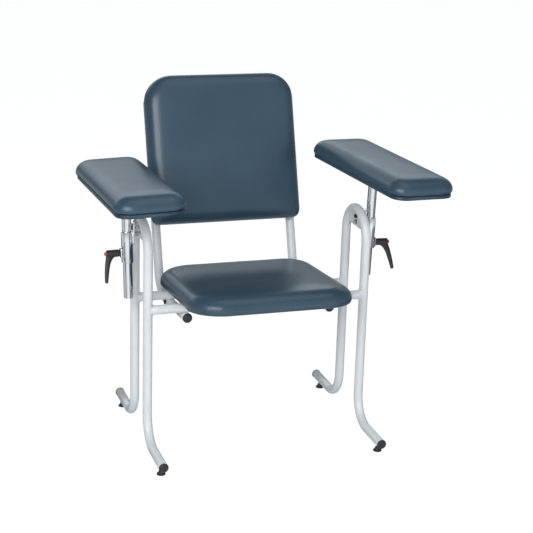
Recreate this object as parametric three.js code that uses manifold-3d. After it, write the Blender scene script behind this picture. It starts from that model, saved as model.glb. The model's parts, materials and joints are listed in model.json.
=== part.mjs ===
// Blood-draw chair: a fixed seat and back on a bent-tube frame, with two padded arms that
// slide and swivel on chromed posts. Millimetres, +Z up, the sitter faces -Y.
// "left" is the -X side and "right" the +X side, as seen by somebody facing the chair.

import * as THREE from 'three';
import { mergeVertices } from 'three/addons/utils/BufferGeometryUtils.js';
import Module from 'manifold-3d';

const wasm = await Module();
wasm.setup();

// ---------------------------------------------------------------- driving dimensions

const DEG = Math.PI / 180;
const GAP = 0.3; // left between pieces that touch

const TUBE = { radius: 12.7, bore: 11.1, sides: 16, boreSides: 12, bendStep: 15 * DEG };
const FRAME = {
  halfWidth: 308, // centre plane of each side frame
  halfPitch: 77, // front and rear legs, either side of Y = 0
  bend: 77, // centreline radius of every bend
  top: 632,
  foot: 31,
  frontEnd: -265,
  rearEnd: 270,
};
const GLIDE = { front: -238, rear: 236, radius: 12, height: 12, stem: 4, stemTop: 36 };
const CROSS = { frontHeight: 405, rearHeight: 391.3 };
const SEAT = {
  width: 453,
  front: -183.5, // along the seat, from the front cross tube
  rear: 276.5,
  thickness: 51,
  corner: 86,
  board: 12,
  boardInset: 24,
  screwSpacing: 300,
};
const RAIL = { halfSpacing: 203, frontEnd: -13, uprightY: 258.8, uprightZ: 500, lean: 18.2 * DEG, top: 390 };
const BACK = {
  width: 446,
  bottom: 37, // along the uprights, from height RAIL.uprightZ
  height: 428,
  thickness: 56,
  topCorner: 78,
  bottomCorner: 24,
  board: 12,
  boardInset: 16,
  screwHeights: [120, 320],
};
const GUSSET = { thickness: 3, bottom: 581, boltHeights: [595, 611] };
const POST = { offset: 348.4, datum: 600, lean: 1.62 * DEG, length: 292 };
const SLEEVE = { radius: 16, bore: 13.3, bottom: -80.5, top: 6, sides: 24 };
const PAD = {
  width: 182,
  length: 525,
  corner: 40,
  base: 10, // wrapped base panel
  seam: 1.2, // open seam between base and cushion
  thickness: 51,
  inset: 3,
  forward: 34, // of the post
};
const SIDES = [
  { name: 'left', sign: -1, padHeight: 715, padYaw: 1.1 * DEG, padTilt: -1.8 * DEG, clampHeight: 547 },
  { name: 'right', sign: 1, padHeight: 733, padYaw: 6.2 * DEG, padTilt: 0.5 * DEG, clampHeight: 532 },
];

const seatTilt = Math.atan2(CROSS.frontHeight - CROSS.rearHeight, 2 * FRAME.halfPitch);

// ---------------------------------------------------------------- materials

function finish(color, roughness, metalness) {
  return () => new THREE.MeshStandardMaterial({ color, roughness, metalness });
}
const paint = finish(0xcdd2d6, 0.4, 0.1);
const chrome = finish(0xd8d8da, 0.08, 1);
const vinyl = finish(0x3d5566, 0.45, 0);
const plywood = finish(0x9a7b55, 0.7, 0);
const zinc = finish(0xc8bd98, 0.35, 0.9);
const steel = finish(0x8c8f92, 0.4, 1);
const blackPlastic = finish(0x1d1c1d, 0.6, 0);
const blackSteel = finish(0x242222, 0.45, 0.6);
const redPlastic = finish(0xd8352c, 0.35, 0);

// ---------------------------------------------------------------- shape helpers

function circlePoints(radius, count) {
  return Array.from({ length: count }, (_, i) => {
    const a = (i / count) * 2 * Math.PI;
    return new THREE.Vector2(radius * Math.cos(a), radius * Math.sin(a));
  });
}

function ringShape(radius, bore, sides = TUBE.sides, boreSides = TUBE.boreSides) {
  const shape = new THREE.Shape(circlePoints(radius, sides));
  if (bore > 0) shape.holes.push(new THREE.Path(circlePoints(bore, boreSides)));
  return shape;
}

// Outline of a rectangle centred on the origin; radii start at the +x +y corner.
function roundedRectangle(width, height, radii, steps = 6) {
  const corners = Array.isArray(radii) ? radii : [radii, radii, radii, radii];
  const signs = [[1, 1], [-1, 1], [-1, -1], [1, -1]];
  const points = [];
  signs.forEach(([sx, sy], k) => {
    const r = corners[k];
    for (let i = 0; i <= steps; i++) {
      const a = (k + i / steps) * (Math.PI / 2);
      points.push(new THREE.Vector2(
        sx * (width / 2 - r) + r * Math.cos(a),
        sy * (height / 2 - r) + r * Math.sin(a),
      ));
    }
  });
  return new THREE.Shape(points);
}

// A centreline whose sections stand only where they are needed.
class StationPath extends THREE.Curve {
  constructor(stations) {
    super();
    this.stations = stations;
  }
  station(u) {
    return this.stations[Math.round(u * (this.stations.length - 1))];
  }
  getPointAt(u) {
    return this.station(u).point.clone();
  }
  getTangentAt(u) {
    return this.station(u).tangent.clone();
  }
}

// Stations along a polyline in the YZ plane, each inner corner rounded to one radius.
function bentStations(corners, radius) {
  const points = corners.map(([y, z]) => new THREE.Vector3(0, y, z));
  const stations = [];
  points.forEach((corner, i) => {
    const before = i > 0 ? corner.clone().sub(points[i - 1]).normalize() : null;
    const after = i < points.length - 1 ? points[i + 1].clone().sub(corner).normalize() : null;
    if (!before || !after) {
      stations.push({ point: corner, tangent: before || after });
      return;
    }
    const turn = before.angleTo(after);
    const start = corner.clone().addScaledVector(before, -radius * Math.tan(turn / 2));
    const inward = after.clone().addScaledVector(before, -after.dot(before)).normalize();
    const count = Math.ceil(turn / TUBE.bendStep);
    for (let k = 0; k <= count; k++) {
      const a = (turn * k) / count;
      stations.push({
        point: start.clone()
          .addScaledVector(before, radius * Math.sin(a))
          .addScaledVector(inward, radius * (1 - Math.cos(a))),
        tangent: before.clone().multiplyScalar(Math.cos(a)).addScaledVector(inward, Math.sin(a)),
      });
    }
  });
  // two bends that run into each other share a station
  return stations.filter((s, i) => i === 0 || s.point.distanceTo(stations[i - 1].point) > 0.01);
}

function bentTube(corners, radius, shape = ringShape(TUBE.radius, TUBE.bore)) {
  const stations = bentStations(corners, radius);
  const path = new StationPath(stations);
  return new THREE.ExtrudeGeometry(shape, { steps: stations.length - 1, extrudePath: path });
}

function prism(shape, height, bevel = 0, bevelSegments = 2) {
  return new THREE.ExtrudeGeometry(shape, {
    depth: height - 2 * bevel,
    bevelEnabled: bevel > 0,
    bevelThickness: bevel,
    bevelSize: bevel,
    bevelOffset: -bevel,
    bevelSegments,
  }).translate(0, 0, bevel);
}

// Solid of revolution about Z from [radius, height] pairs that start and end on the axis.
function turned(profile, segments = 20) {
  const points = profile.map(([r, z]) => new THREE.Vector2(r, z));
  return new THREE.LatheGeometry(points, segments).rotateX(Math.PI / 2);
}

function rod(radius, from, to, segments = 16) {
  return turned([[0, from], [radius, from], [radius, to], [0, to]], segments);
}

const alongX = (geometry) => geometry.rotateY(Math.PI / 2);
const alongY = (geometry) => geometry.rotateX(-Math.PI / 2);

function box(x, y, z) {
  return new THREE.BoxGeometry(x[1] - x[0], y[1] - y[0], z[1] - z[0])
    .translate((x[0] + x[1]) / 2, (y[0] + y[1]) / 2, (z[0] + z[1]) / 2);
}

// ---------------------------------------------------------------- joining and cutting

function toSolid(geometry) {
  const bare = geometry.clone();
  bare.deleteAttribute('normal');
  bare.deleteAttribute('uv');
  const merged = mergeVertices(bare, 1e-4);
  const index = Array.from(merged.index.array);
  const kept = [];
  for (let i = 0; i < index.length; i += 3) {
    const [a, b, c] = index.slice(i, i + 3);
    if (a !== b && b !== c && c !== a) kept.push(a, b, c);
  }
  return new wasm.Manifold(new wasm.Mesh({
    numProp: 3,
    vertProperties: new Float32Array(merged.attributes.position.array),
    triVerts: new Uint32Array(kept),
  }));
}

function fromSolid(solid) {
  const mesh = solid.getMesh();
  const geometry = new THREE.BufferGeometry();
  geometry.setAttribute('position', new THREE.BufferAttribute(mesh.vertProperties, 3));
  geometry.setIndex(new THREE.BufferAttribute(mesh.triVerts, 1));
  geometry.computeVertexNormals();
  return geometry;
}

function join(first, ...others) {
  return fromSolid(others.reduce((solid, g) => solid.add(toSolid(g)), toSolid(first)));
}

function cut(first, ...tools) {
  return fromSolid(tools.reduce((solid, g) => solid.subtract(toSolid(g)), toSolid(first)));
}

// ---------------------------------------------------------------- assembly groups

const chair = new THREE.Group();

// Seat frame of reference: origin on the underside of the seat above the front cross tube.
const seatFrame = new THREE.Group();
const seatRise = TUBE.radius + GAP;
seatFrame.position.set(
  0,
  -FRAME.halfPitch + seatRise * Math.sin(seatTilt),
  CROSS.frontHeight + seatRise * Math.cos(seatTilt),
);
seatFrame.rotation.x = -seatTilt;

// Back frame of reference: Z runs up the uprights' centreline.
const backFrame = new THREE.Group();
backFrame.position.set(0, RAIL.uprightY, RAIL.uprightZ);
backFrame.rotation.x = -RAIL.lean;

chair.add(seatFrame, backFrame);
chair.updateMatrixWorld(true);

function add(group, name, geometry, material) {
  const mesh = new THREE.Mesh(geometry, material());
  mesh.name = name;
  group.add(mesh);
  return mesh;
}

// ---------------------------------------------------------------- frame

const crossPitch = (2 * FRAME.halfPitch) / Math.cos(seatTilt);
const tubeBelowSeat = -seatRise; // cross tube centres, in the seat frame
const railBelowSeat = tubeBelowSeat - 2 * TUBE.radius - GAP;
const screwPlaces = [];
for (const y of [0, crossPitch]) {
  for (const sign of [-1, 1]) screwPlaces.push([sign * SEAT.screwSpacing / 2, y]);
}
const SCREW = { radius: 3, hole: 3.5, head: 6, headHeight: 3.2, grip: 9 };

function endPlug(flange = TUBE.radius + 0.7) {
  const stem = TUBE.bore - 0.6;
  return turned([
    [0, -12], [stem, -12], [stem, GAP],
    [flange, GAP], [flange, 1.6], [flange - 2.6, 4.2], [0, 5.4],
  ], 16);
}

function sideFrame() {
  const tube = bentTube([
    [FRAME.frontEnd, FRAME.foot],
    [-FRAME.halfPitch, FRAME.foot],
    [-FRAME.halfPitch, FRAME.top],
    [FRAME.halfPitch, FRAME.top],
    [FRAME.halfPitch, FRAME.foot],
    [FRAME.rearEnd, FRAME.foot],
  ], FRAME.bend);
  const stemHole = (y) => rod(GLIDE.stem + 0.5, 0, FRAME.foot).translate(0, y, 0);
  return cut(tube, stemHole(GLIDE.front), stemHole(GLIDE.rear));
}

function glide() {
  const r = GLIDE.radius;
  const h = GLIDE.height;
  return turned([
    [0, 0], [r - 1.5, 0], [r, 1.5], [r, 3.6], [r - 5, h - 1.2], [GLIDE.stem, h],
    [GLIDE.stem, GLIDE.stemTop], [0, GLIDE.stemTop],
  ], 16);
}

function crossTube(y, z) {
  const tube = bentTube([[-FRAME.halfWidth, 0], [FRAME.halfWidth, 0]], 0)
    .rotateZ(Math.PI / 2)
    .translate(0, y, z);
  const legs = [-1, 1].map((sign) => rod(TUBE.radius + GAP, z - 40, z + 40, 24)
    .translate(sign * FRAME.halfWidth, y, 0));
  const holes = screwPlaces.map(([sx, sy]) => rod(SCREW.hole, -60, 20, 10)
    .translate(sx, sy, 0)
    .applyMatrix4(seatFrame.matrix));
  return cut(tube, ...legs, ...holes);
}

for (const { name, sign } of SIDES) {
  const x = sign * FRAME.halfWidth;
  add(chair, `${name}_side_frame`, sideFrame(), paint).position.x = x;
  const front = add(chair, `${name}_front_foot_plug`, endPlug().rotateX(Math.PI / 2), blackPlastic);
  front.position.set(x, FRAME.frontEnd, FRAME.foot);
  const rear = add(chair, `${name}_rear_foot_plug`, alongY(endPlug()), blackPlastic);
  rear.position.set(x, FRAME.rearEnd, FRAME.foot);
  add(chair, `${name}_front_glide`, glide(), blackPlastic).position.set(x, GLIDE.front, 0);
  add(chair, `${name}_rear_glide`, glide(), blackPlastic).position.set(x, GLIDE.rear, 0);
}
add(chair, 'front_cross_tube', crossTube(-FRAME.halfPitch, CROSS.frontHeight), paint);
add(chair, 'rear_cross_tube', crossTube(FRAME.halfPitch, CROSS.rearHeight), paint);

// ---------------------------------------------------------------- seat rails and back uprights

// The upright, seen in the seat frame.
const uprightBase = backFrame.position.clone().applyMatrix4(seatFrame.matrix.clone().invert());
const relativeLean = RAIL.lean - seatTilt;
const railCornerY = uprightBase.y - (uprightBase.z - railBelowSeat) * Math.tan(relativeLean);
const uprightTop = [
  uprightBase.y + RAIL.top * Math.sin(relativeLean),
  uprightBase.z + RAIL.top * Math.cos(relativeLean),
];
const RAIL_BOLT = { y: crossPitch + 22, radius: 3, head: 6.5 };

function backRail(sign) {
  const tube = bentTube(
    [[RAIL.frontEnd, railBelowSeat], [railCornerY, railBelowSeat], uprightTop],
    FRAME.bend,
  );
  const backScrewHoles = BACK.screwHeights.map((z) => alongY(rod(SCREW.hole, -30, 30, 10))
    .translate(0, 0, z)
    .applyMatrix4(backFrame.matrix)
    .applyMatrix4(seatFrame.matrix.clone().invert()));
  const boltHole = alongX(rod(SCREW.hole, Math.min(0, 30 * sign), Math.max(0, 30 * sign), 10))
    .translate(0, RAIL_BOLT.y, railBelowSeat);
  return cut(tube, ...backScrewHoles, boltHole);
}

function hexBolt(radius, head, headHeight, grip) {
  return turned([
    [0, -headHeight], [head, -headHeight], [head, 0], [radius, 0], [radius, grip], [0, grip],
  ], 6);
}

for (const { name, sign } of SIDES) {
  const x = sign * RAIL.halfSpacing;
  add(seatFrame, `${name}_back_rail`, backRail(sign), paint).position.x = x;
  const front = add(seatFrame, `${name}_rail_plug`, endPlug().rotateX(Math.PI / 2), blackPlastic);
  front.position.set(x, RAIL.frontEnd, railBelowSeat);
  add(backFrame, `${name}_upright_plug`, endPlug(TUBE.radius), blackPlastic).position.set(x, 0, RAIL.top);
  const boltShape = hexBolt(RAIL_BOLT.radius, RAIL_BOLT.head, 4.5, 16);
  const bolt = add(seatFrame, `${name}_rail_bolt`, boltShape, blackSteel);
  bolt.position.set(x + sign * (TUBE.radius + GAP), RAIL_BOLT.y, railBelowSeat);
  bolt.rotation.y = -sign * Math.PI / 2;
}

// ---------------------------------------------------------------- seat and back

function screw(grip) {
  const { radius, head, headHeight } = SCREW;
  return turned([
    [0, -headHeight], [head - 2, -headHeight], [head, -headHeight + 2], [head, 0],
    [radius, 0], [radius, grip], [0, grip],
  ], 12);
}
const screwGrip = 2 * TUBE.radius + 2 * GAP + SCREW.grip;

// A slab of the seat's outline, drawn in by an inset; the seat board and its pocket are two of them.
function seatSlab(inset, depth, bevel = 0) {
  const length = SEAT.rear - SEAT.front;
  const outline = roundedRectangle(SEAT.width - 2 * inset, length - 2 * inset, SEAT.corner - inset);
  return prism(outline, depth, bevel, 3).translate(0, (SEAT.front + SEAT.rear) / 2, 0);
}

function seatBoard() {
  const board = seatSlab(SEAT.boardInset, SEAT.board);
  const holes = screwPlaces.map(([x, y]) => rod(SCREW.hole, -5, SCREW.grip + 1, 10).translate(x, y, 0));
  return cut(board, ...holes);
}

function seatCushion() {
  const pocket = seatSlab(SEAT.boardInset - GAP, SEAT.board + 1 + GAP).translate(0, 0, -1);
  return cut(seatSlab(0, SEAT.thickness, 12), pocket);
}

add(seatFrame, 'seat_board', seatBoard(), plywood);
add(seatFrame, 'seat_cushion', seatCushion(), vinyl);
screwPlaces.forEach(([x, y], i) => {
  const place = add(seatFrame, `seat_screw_${i + 1}`, screw(screwGrip), zinc).position;
  place.set(x, y, tubeBelowSeat - TUBE.radius - GAP);
});

// The back's outlines lie in the back frame's XZ plane and its thickness runs towards -Y.
function backPanel(inset, from, depth, bevel) {
  const bottomCorner = Math.max(BACK.bottomCorner - inset, 8);
  const topCorner = BACK.topCorner - inset;
  const outline = roundedRectangle(BACK.width - 2 * inset, BACK.height - 2 * inset,
    [topCorner, topCorner, bottomCorner, bottomCorner]);
  return prism(outline, depth, bevel, 3)
    .rotateX(Math.PI / 2)
    .translate(0, from, BACK.bottom + BACK.height / 2);
}

const backScrewPlaces = [];
for (const z of BACK.screwHeights) {
  for (const { sign } of SIDES) backScrewPlaces.push([sign * RAIL.halfSpacing, z]);
}
const boardRear = -TUBE.radius - GAP;
const screwHoles = backScrewPlaces.map(([x, z]) => alongY(rod(SCREW.hole, boardRear - SCREW.grip - 1, 0, 10))
  .translate(x, 0, z));
const backPocket = backPanel(BACK.boardInset - GAP, boardRear + 1, BACK.board + 1 + GAP, 0);
add(backFrame, 'back_board', cut(backPanel(BACK.boardInset, boardRear, BACK.board, 0), ...screwHoles), vinyl);
add(backFrame, 'back_cushion', cut(backPanel(0, boardRear, BACK.thickness, 12), backPocket), vinyl);
backScrewPlaces.forEach(([x, z], i) => {
  const mesh = add(backFrame, `back_screw_${i + 1}`, screw(screwGrip).rotateX(Math.PI / 2), zinc);
  mesh.position.set(x, TUBE.radius + GAP, z);
});

// ---------------------------------------------------------------- arm mounts

// Everything below is built for the right side, outward along +X; the left side is the same
// pieces turned half a turn about Z.
const BOSS = { width: 18, height: 28, reach: 19.5, hole: 4.5 };
const BAR = { inner: 328.8, outer: 333.4, halfWidth: 12.5, bottom: 571, top: 628, spacer: 7 };
const BOLT = { radius: 2.9, head: 5.6, headHeight: 4, washer: 6.6, washerHeight: 1.2 };
const gussetOuter = FRAME.halfWidth + GUSSET.thickness / 2;
const gussetInner = FRAME.halfWidth - GUSSET.thickness / 2;

const postAxis = new THREE.Matrix4()
  .makeRotationY(POST.lean)
  .setPosition(POST.offset, 0, POST.datum);

function gusset() {
  const radius = (FRAME.bend - TUBE.radius) * Math.cos(TUBE.bendStep / 2) - GAP;
  const centre = FRAME.top - FRAME.bend;
  const half = Math.acos((GUSSET.bottom - centre) / radius);
  const points = Array.from({ length: 15 }, (_, i) => {
    const a = Math.PI / 2 - half + (2 * half * i) / 14;
    return new THREE.Vector2(radius * Math.cos(a), centre + radius * Math.sin(a));
  });
  const plate = prism(new THREE.Shape(points), GUSSET.thickness)
    .rotateX(Math.PI / 2)
    .rotateZ(Math.PI / 2)
    .translate(gussetInner, 0, 0);
  const hole = (z) => alongX(rod(BOLT.radius + 0.6, gussetInner - 5, gussetOuter + 5, 10)).translate(0, 0, z);
  const holes = GUSSET.boltHeights.map(hole);
  return cut(plate, ...holes);
}

function sleeve(clampHeight) {
  const shell = rod(SLEEVE.radius, SLEEVE.bottom, SLEEVE.top, SLEEVE.sides);
  const boss = prism(roundedRectangle(BOSS.height, BOSS.width, 6, 3), BOSS.reach - 10, 1)
    .rotateY(Math.PI / 2)
    .translate(10, 0, clampHeight - POST.datum);
  const bore = rod(SLEEVE.bore, SLEEVE.bottom - 5, SLEEVE.top + 20, SLEEVE.sides);
  const clampHole = alongX(rod(BOSS.hole, 5, 30, 14)).translate(0, 0, clampHeight - POST.datum);
  const bar = box([BAR.inner, BAR.outer], [-BAR.halfWidth, BAR.halfWidth], [BAR.bottom, BAR.top]);
  const acrossAt = (radius, from, to) => GUSSET.boltHeights
    .map((z) => alongX(rod(radius, from, to, 14)).translate(0, 0, z));
  const spacers = acrossAt(BAR.spacer, gussetOuter + GAP, BAR.inner + 1);
  const boltHoles = acrossAt(BOLT.radius + 0.4, gussetOuter - 2, BAR.outer - 1);
  const [placedShell, placedBoss, placedBore, placedHole] = [shell, boss, bore, clampHole]
    .map((g) => g.applyMatrix4(postAxis));
  return cut(join(placedShell, placedBoss, bar, ...spacers), placedBore, placedHole, ...boltHoles);
}

// ---------------------------------------------------------------- clamp lever

const LEVER = {
  tip: TUBE.radius + GAP,
  base: BOSS.reach + GAP,
  end: 57,
  radius: 10,
  bore: 7.5,
  buttonHole: 5.4,
  shoulder: 52,
  swing: 25 * DEG, // how far forward of straight down the arm hangs
};

function leverHandle() {
  const { base, end, radius } = LEVER;
  const hub = alongX(turned([
    [0, base], [radius - 0.9, base], [radius - 0.9, base + 5], [radius, base + 8],
    [radius, end - 2], [radius - 2, end], [0, end],
  ], 20));
  const side = new THREE.Shape();
  side.moveTo(40, 0);
  side.lineTo(31, -8.5);
  side.quadraticCurveTo(45, -13, 51.5, -36);
  side.quadraticCurveTo(57, -56, 60, -74);
  side.absarc(64.6, -74, 4.6, Math.PI, 2 * Math.PI, false);
  side.quadraticCurveTo(67, -42, 61.5, -18);
  side.quadraticCurveTo(58.5, -7, 57, 4);
  const arm = new THREE.ExtrudeGeometry(side, {
    depth: 7, bevelThickness: 3, bevelSize: 2.5, bevelOffset: -2.5, bevelSegments: 2, curveSegments: 6,
  }).rotateX(Math.PI / 2).translate(0, 3.5, 0);
  const bore = alongX(rod(LEVER.bore, base - 5, LEVER.shoulder, 20));
  const buttonHole = alongX(rod(LEVER.buttonHole, base, end + 20, 20));
  return cut(join(hub, arm), bore, buttonHole);
}

function leverStud() {
  return alongX(turned([
    [0, LEVER.tip], [4, LEVER.tip], [4, 24], [6.8, 24], [6.8, 38], [0, 38],
  ], 16));
}

function leverButton() {
  return alongX(turned([
    [0, 48.8], [6.6, 48.8], [6.6, 51.6], [4.9, 51.6], [4.9, 60.8], [3.9, 62.2], [0, 62.6],
  ], 18));
}

// ---------------------------------------------------------------- arm

const PLATE = { radius: 45, thickness: 3, spigot: 10.2, depth: 18, clearance: 0.6 };

function armPlate() {
  return turned([
    [0, -PLATE.depth], [PLATE.spigot - 1, -PLATE.depth], [PLATE.spigot, -PLATE.depth + 1],
    [PLATE.spigot, -PLATE.thickness - GAP], [PLATE.radius, -PLATE.thickness - GAP],
    [PLATE.radius, -GAP], [0, -GAP],
  ], 24);
}

function armPost() {
  const top = -PLATE.thickness - GAP - PLATE.clearance;
  return prism(ringShape(TUBE.radius, TUBE.bore, SLEEVE.sides, 16), POST.length)
    .translate(0, 0, top - POST.length);
}

function armBase() {
  const { width, length, corner, inset, base } = PAD;
  return prism(roundedRectangle(width - 2 * inset, length - 2 * inset, corner - inset), base, 2, 2);
}

function armCushion() {
  const { width, length, corner, base, seam, thickness } = PAD;
  const bottom = base + seam;
  return prism(roundedRectangle(width, length, corner), thickness - bottom, 12, 3)
    .translate(0, 0, bottom);
}

for (const { name, sign, padHeight, padYaw, padTilt, clampHeight } of SIDES) {
  const side = new THREE.Group();
  const halfTurn = sign > 0 ? 0 : Math.PI;
  side.rotation.z = halfTurn;
  chair.add(side);

  add(side, `${name}_gusset`, gusset(), paint);
  add(side, `${name}_sleeve`, sleeve(clampHeight), chrome);
  GUSSET.boltHeights.forEach((z, i) => {
    const level = i === 0 ? 'lower' : 'upper';
    const washer = alongX(turned([
      [BOLT.radius + 0.4, 0], [BOLT.washer, 0], [BOLT.washer, BOLT.washerHeight],
      [BOLT.radius + 0.4, BOLT.washerHeight], [BOLT.radius + 0.4, 0],
    ], 14));
    const washerX = gussetInner - GAP - BOLT.washerHeight;
    add(side, `${name}_${level}_washer`, washer, blackSteel).position.set(washerX, 0, z);
    const bolt = alongX(hexBolt(BOLT.radius, BOLT.head, BOLT.headHeight, 27));
    const metal = level === 'lower' ? zinc : blackSteel;
    add(side, `${name}_${level}_bolt`, bolt, metal).position.set(washerX - GAP, 0, z);
  });

  const axis = new THREE.Group();
  axis.applyMatrix4(postAxis);
  side.add(axis);

  const lever = new THREE.Group();
  lever.position.z = clampHeight - POST.datum;
  lever.rotation.x = -sign * LEVER.swing;
  axis.add(lever);
  add(lever, `${name}_lever_handle`, leverHandle(), blackPlastic);
  add(lever, `${name}_lever_stud`, leverStud(), steel);
  add(lever, `${name}_lever_button`, leverButton(), redPlastic);

  const arm = new THREE.Group();
  arm.position.z = (padHeight - POST.datum) / Math.cos(POST.lean);
  arm.rotation.z = halfTurn + padYaw; // undoes the half turn, then turns the pad
  axis.add(arm);
  add(arm, `${name}_post`, armPost(), chrome);

  const pad = new THREE.Group();
  pad.rotation.x = padTilt;
  arm.add(pad);
  add(pad, `${name}_arm_plate`, armPlate(), steel);
  add(pad, `${name}_arm_base`, armBase(), vinyl).position.y = -PAD.forward;
  add(pad, `${name}_arm_cushion`, armCushion(), vinyl).position.y = -PAD.forward;
}

// ---------------------------------------------------------------- origin

// The origin is on the floor, at the middle of the chair's overall width and depth.
chair.updateMatrixWorld(true);
const overall = new THREE.Box3().setFromObject(chair, true);
const middle = overall.getCenter(new THREE.Vector3());
chair.position.set(-middle.x, -middle.y, -overall.min.z);
chair.updateMatrixWorld(true);

export default chair;
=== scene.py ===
"""Looks for the blood-draw chair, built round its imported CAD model. Metres, +Z up, the sitter faces -Y.

"left" is the -X side and "right" the +X side, as seen by somebody facing the chair.
"""

import json
import math

import bmesh
import bpy
import numpy as np
from mathutils import Matrix, Vector


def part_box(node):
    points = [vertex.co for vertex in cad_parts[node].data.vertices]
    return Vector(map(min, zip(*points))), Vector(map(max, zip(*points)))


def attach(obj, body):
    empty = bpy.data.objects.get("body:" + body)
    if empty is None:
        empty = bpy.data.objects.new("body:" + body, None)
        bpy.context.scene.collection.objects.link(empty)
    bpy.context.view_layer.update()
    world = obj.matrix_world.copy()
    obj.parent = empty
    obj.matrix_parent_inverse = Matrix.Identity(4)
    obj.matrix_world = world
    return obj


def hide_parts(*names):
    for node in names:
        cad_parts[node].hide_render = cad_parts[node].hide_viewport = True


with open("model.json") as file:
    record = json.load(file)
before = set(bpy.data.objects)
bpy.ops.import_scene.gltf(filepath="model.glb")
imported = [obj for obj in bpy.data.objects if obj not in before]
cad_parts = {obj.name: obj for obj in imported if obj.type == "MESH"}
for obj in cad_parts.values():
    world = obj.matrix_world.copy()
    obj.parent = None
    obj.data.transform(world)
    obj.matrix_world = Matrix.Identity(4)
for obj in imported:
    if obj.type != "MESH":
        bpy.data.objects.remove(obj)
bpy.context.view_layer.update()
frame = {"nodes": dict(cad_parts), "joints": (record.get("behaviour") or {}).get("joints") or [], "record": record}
scene = bpy.context.scene
joints = {j["name"]: j for j in frame["joints"]}

MM = 0.001
TUBE_RADIUS = 12.7 * MM
BEND_RADIUS = 77 * MM
RAIL_START = -13 * MM  # along the seat, from the front cross tube
RAIL_X = 203 * MM
UPRIGHT_LENGTH = 390 * MM
MOUNT_BOLTS = (("lower", 595 * MM), ("upper", 611 * MM))  # heights above the floor
SIDES = (("left", -1), ("right", 1))


# ---------------------------------------------------------------- places taken from the frame


def middle(node):
    low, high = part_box(node)
    return (low + high) / 2


front_tube = middle("front_cross_tube")
rear_tube = middle("rear_cross_tube")
ORIGIN = Vector((front_tube.x, (front_tube.y + rear_tube.y) / 2, 0))
HALF_PITCH = (rear_tube.y - front_tube.y) / 2
HALF_WIDTH = middle("right_side_frame").x - ORIGIN.x
GAP = 0.3 * MM
RAIL_DROP = 2 * GAP + 3 * TUBE_RADIUS

seat_tilt = math.atan2(front_tube.z - rear_tube.z, 2 * HALF_PITCH)
seat_rise = TUBE_RADIUS + GAP
SEAT = Matrix.Translation(
    front_tube + Vector((0, seat_rise * math.sin(seat_tilt), seat_rise * math.cos(seat_tilt)))
) @ Matrix.Rotation(-seat_tilt, 4, "X")

LEAN = math.radians(18.2)
UPRIGHT_Y, UPRIGHT_Z = 258.8 * MM, 500 * MM
BACK = Matrix.Translation(ORIGIN + Vector((0, UPRIGHT_Y, UPRIGHT_Z))) @ Matrix.Rotation(-LEAN, 4, "X")


def joint_frame(joint, outward):
    """X away from the seat, Z along the joint's axis, for an arm slide or swivel."""
    z = Vector(joint["axis"]).normalized()
    x = (Vector((outward, 0, 0)) - z * z.x * outward).normalized()
    y = z.cross(x)
    m = Matrix((x, y, z)).transposed().to_4x4()
    return Matrix.Translation(Vector(joint["pos_m"])) @ m


# ---------------------------------------------------------------- mesh building


def make_object(name, verts, faces, smooth=True):
    mesh = bpy.data.meshes.new(name)
    mesh.from_pydata([tuple(v) for v in verts], [], faces)
    mesh.validate()
    bm = bmesh.new()
    bm.from_mesh(mesh)
    bmesh.ops.remove_doubles(bm, verts=bm.verts, dist=1e-7)
    bmesh.ops.recalc_face_normals(bm, faces=bm.faces)
    bm.to_mesh(mesh)
    bm.free()
    obj = bpy.data.objects.new(name, mesh)
    scene.collection.objects.link(obj)
    for p in mesh.polygons:
        p.use_smooth = smooth
    return obj


def loft(name, rings, caps=True, loop=False, smooth=True):
    """Skin over rings of equally many points, capped at both ends or joined end to end."""
    count = len(rings[0])
    verts = [v for ring in rings for v in ring]
    faces = []
    spans = len(rings) if loop else len(rings) - 1
    for i in range(spans):
        a, b = i * count, ((i + 1) % len(rings)) * count
        for k in range(count):
            n = (k + 1) % count
            faces.append((a + k, a + n, b + n, b + k))
    if caps and not loop:
        faces.append(tuple(range(count)))
        faces.append(tuple(reversed(range(len(verts) - count, len(verts)))))
    return make_object(name, verts, faces, smooth)


def lathe(name, profile, segments=48, smooth=True):
    """Solid of revolution about Z from (radius, height) pairs; a zero radius closes the end."""
    verts, rings = [], []
    for r, z in profile:
        if r < 1e-9:
            rings.append([len(verts)])
            verts.append((0, 0, z))
            continue
        rings.append(list(range(len(verts), len(verts) + segments)))
        for k in range(segments):
            a = 2 * math.pi * k / segments
            verts.append((r * math.cos(a), r * math.sin(a), z))
    faces = []
    for low, high in zip(rings, rings[1:]):
        for k in range(segments):
            n = (k + 1) % segments
            if len(low) == 1:
                faces.append((low[0], high[n], high[k]))
            elif len(high) == 1:
                faces.append((low[k], low[n], high[0]))
            else:
                faces.append((low[k], low[n], high[n], high[k]))
    if len(rings[0]) > 1 and len(rings[-1]) > 1:
        low, high = rings[-1], rings[0]
        for k in range(segments):
            n = (k + 1) % segments
            faces.append((low[k], low[n], high[n], high[k]))
    return make_object(name, verts, faces, smooth)


def place(obj, matrix):
    obj.data.transform(matrix)
    return obj


def sharpen(obj, angle=35):
    """Splits the shading at edges sharper than angle."""
    bm = bmesh.new()
    bm.from_mesh(obj.data)
    for e in bm.edges:
        if len(e.link_faces) == 2 and e.calc_face_angle(0) > math.radians(angle):
            e.smooth = False
    bm.to_mesh(obj.data)
    bm.free()
    return obj


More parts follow.
